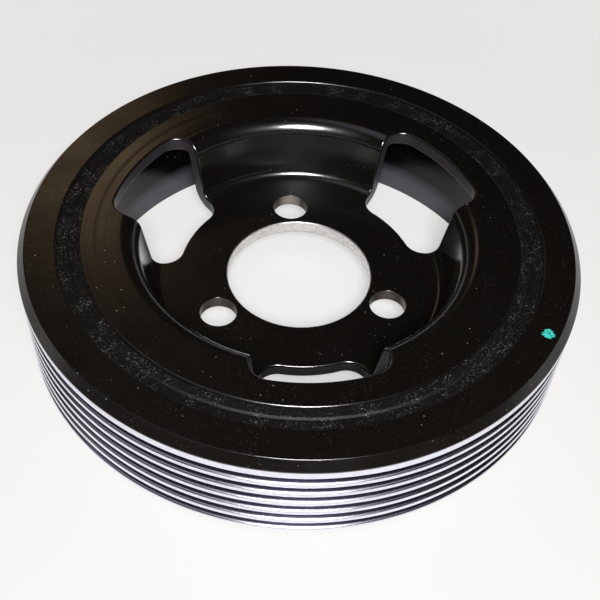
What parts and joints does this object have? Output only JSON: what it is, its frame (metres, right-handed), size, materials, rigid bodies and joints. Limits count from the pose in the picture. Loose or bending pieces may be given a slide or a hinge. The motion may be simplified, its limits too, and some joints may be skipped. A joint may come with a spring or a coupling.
{
  "type": "crankshaft pulley",
  "caption": "Vibration-damping crankshaft pulley: a pressed cup hub with a bolted centre, a rubber ring, and an outer ring grooved for a ribbed belt.",
  "frame": {"origin": "on the pulley's axis, in the plane of the bottom rim that it lies on, which is the engine side", "axes": "+Z along the axis, out of the open cup and away from the engine; +Y towards the first bolt hole"},
  "size_m": [0.134, 0.134, 0.0265],
  "materials": {
    "black_enamel": "gloss black enamel over pressed steel and cast iron, with the belt face, the bore and the bolt holes left as bare turned metal",
    "rubber": "matt moulded rubber with dust"
  },
  "bodies": {
    "root": {"hub": "black_enamel", "rubber_ring": "rubber", "belt_ring": "black_enamel"}
  },
  "joints": []
}
